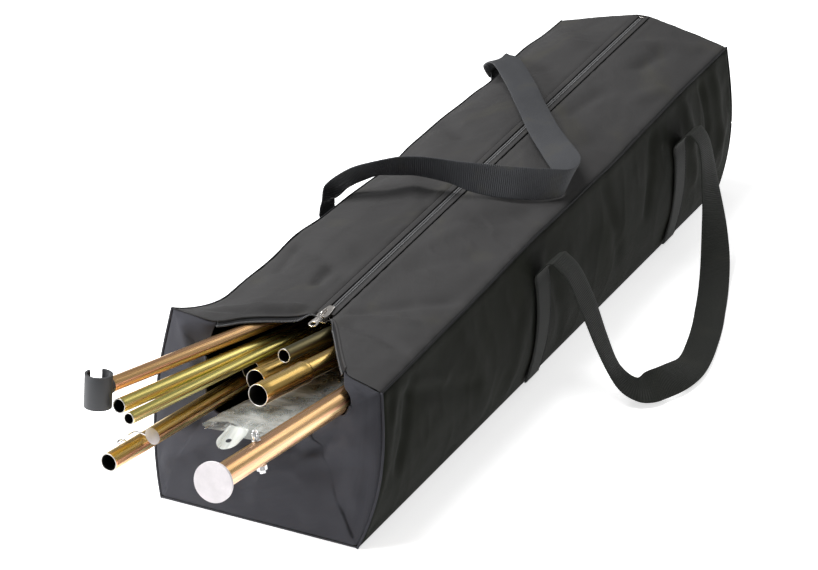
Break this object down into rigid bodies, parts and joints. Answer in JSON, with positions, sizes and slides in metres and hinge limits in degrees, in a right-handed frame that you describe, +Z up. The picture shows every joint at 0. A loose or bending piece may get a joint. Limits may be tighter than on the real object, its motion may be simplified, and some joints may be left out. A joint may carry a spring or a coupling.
{
  "type": "weave pole set in a carry bag",
  "caption": "Long fabric carry bag with a zip and webbing handles, unzipped at one end, holding plated steel agility poles with their clip, sockets, lock pin, foot and peg pouch.",
  "frame": {"origin": "middle of the bag's base, on the surface it lies on", "axes": "+Y from the bag's open end to its closed end, +Z up, +X to the right seen from the open end"},
  "size_m": [0.4651, 1.3681, 0.2531],
  "materials": {
    "side_fabric": "matt woven polyester, olive black",
    "front_fabric": "matt woven polyester, bluish dark grey",
    "top_fabric": "matt woven polyester, warm dark grey",
    "webbing": "ribbed nylon webbing",
    "zip_tape": "knitted zip tape",
    "zip_coil": "nylon coil",
    "nickel": "nickel plated",
    "chromate_steel": "yellow chromated zinc, satin and slightly iridescent",
    "clip_plastic": "charcoal moulded plastic",
    "pale_plastic": "off-white plastic",
    "spring_wire": "bright zinc",
    "peg_steel": "bright zinc",
    "clear_film": "clear film"
  },
  "bodies": {
    "bag": {"base_panel": "side_fabric", "left_side_panel": "side_fabric", "right_side_panel": "side_fabric", "front_end_panel": "front_fabric", "rear_end_panel": "side_fabric", "left_top_panel": "top_fabric", "right_top_panel": "top_fabric", "left_zip_tape": "zip_tape", "right_zip_tape": "zip_tape", "left_zip_coil": "zip_coil", "right_zip_coil": "zip_coil", "zip_end_stop": "nickel", "left_front_sewn_strap": "webbing", "left_rear_sewn_strap": "webbing", "right_front_sewn_strap": "webbing", "right_rear_sewn_strap": "webbing"},
    "slider": {"zip_slider": "nickel"},
    "pull_tab": {"zip_pull": "nickel"},
    "left_handle": {"left_handle_loop": "webbing"},
    "right_handle": {"right_handle_loop": "webbing"},
    "clip_pole": {"clip_pole_tube": "chromate_steel", "pole_clip": "clip_plastic"},
    "common_pole": {"common_pole_tube": "chromate_steel"},
    "narrow_pole": {"narrow_pole_tube": "chromate_steel"},
    "short_pole": {"short_pole_tube": "chromate_steel"},
    "pin_pole": {"pin_pole_tube": "chromate_steel", "lock_pin": "pale_plastic"},
    "pin_bail": {"lock_pin_bail": "spring_wire"},
    "socket_pole_a": {"socket_pole_a_tube": "chromate_steel", "socket_a": "chromate_steel"},
    "socket_pole_b": {"socket_pole_b_tube": "chromate_steel", "socket_b": "chromate_steel"},
    "socket_pole_c": {"socket_pole_c_tube": "chromate_steel", "socket_c": "chromate_steel"},
    "foot_pole": {"foot_pole_tube": "chromate_steel", "foot_plate": "pale_plastic", "bolt_nut": "spring_wire"},
    "foot_bolt": {"wing_bolt": "spring_wire"},
    "pouch": {"peg_pouch": "clear_film", "ground_pegs": "peg_steel"}
  },
  "joints": [
    {"name": "zip_slide", "type": "slide", "parent": "bag", "child": "slider", "axis": [0, 0.9981, 0.061], "range_m": [0, 0.905]},
    {"name": "pull_swing", "type": "hinge", "parent": "slider", "child": "pull_tab", "pos_m": [0, -0.39525, 0.1853], "axis": [-1, 0, 0], "range_deg": [0, 150]},
    {"name": "left_handle_swing", "type": "hinge", "parent": "bag", "child": "left_handle", "pos_m": [-0.15, -0.11, 0.172], "axis": [0, -1, 0], "range_deg": [0, 180]},
    {"name": "right_handle_swing", "type": "hinge", "parent": "bag", "child": "right_handle", "pos_m": [0.16, -0.11, 0.168], "axis": [0, -1, 0], "range_deg": [0, 125]},
    {"name": "clip_pole_slide", "type": "slide", "parent": "bag", "child": "clip_pole", "axis": [-0.1588, -0.9804, 0.1167], "range_m": [0, 1]},
    {"name": "common_pole_slide", "type": "slide", "parent": "bag", "child": "common_pole", "axis": [-0.0914, -0.9855, 0.1426], "range_m": [0, 1]},
    {"name": "narrow_pole_slide", "type": "slide", "parent": "bag", "child": "narrow_pole", "axis": [-0.0953, -0.9896, 0.108], "range_m": [0, 1]},
    {"name": "short_pole_slide", "type": "slide", "parent": "bag", "child": "short_pole", "axis": [-0.1021, -0.9877, 0.1184], "range_m": [0, 1]},
    {"name": "pin_pole_slide", "type": "slide", "parent": "bag", "child": "pin_pole", "axis": [-0.0679, -0.9955, 0.0663], "range_m": [0, 1]},
    {"name": "socket_pole_a_slide", "type": "slide", "parent": "bag", "child": "socket_pole_a", "axis": [-0.1123, -0.9857, 0.1253], "range_m": [0, 1]},
    {"name": "socket_pole_b_slide", "type": "slide", "parent": "bag", "child": "socket_pole_b", "axis": [-0.1003, -0.987, 0.1253], "range_m": [0, 1]},
    {"name": "socket_pole_c_slide", "type": "slide", "parent": "bag", "child": "socket_pole_c", "axis": [-0.0778, -0.9886, 0.1288], "range_m": [0, 1]},
    {"name": "foot_pole_slide", "type": "slide", "parent": "bag", "child": "foot_pole", "axis": [0.0498, -0.9838, 0.1719], "range_m": [0, 1]},
    {"name": "pouch_slide", "type": "slide", "parent": "bag", "child": "pouch", "axis": [-0.0692, -0.9899, 0.1236], "range_m": [0, 0.3]},
    {"name": "pin_bail_swing", "type": "hinge", "parent": "pin_pole", "child": "pin_bail", "pos_m": [-0.07479, -0.65078, 0.13189], "axis": [-0.7782, 0.0112, -0.6279], "range_deg": [0, 115]},
    {"name": "foot_bolt_turn", "type": "hinge", "parent": "foot_pole", "child": "foot_bolt", "pos_m": [0.10126, -0.71603, 0.19317], "axis": [-0.2836, 0.1511, 0.9469], "range_deg": [-180, 180]}
  ]
}
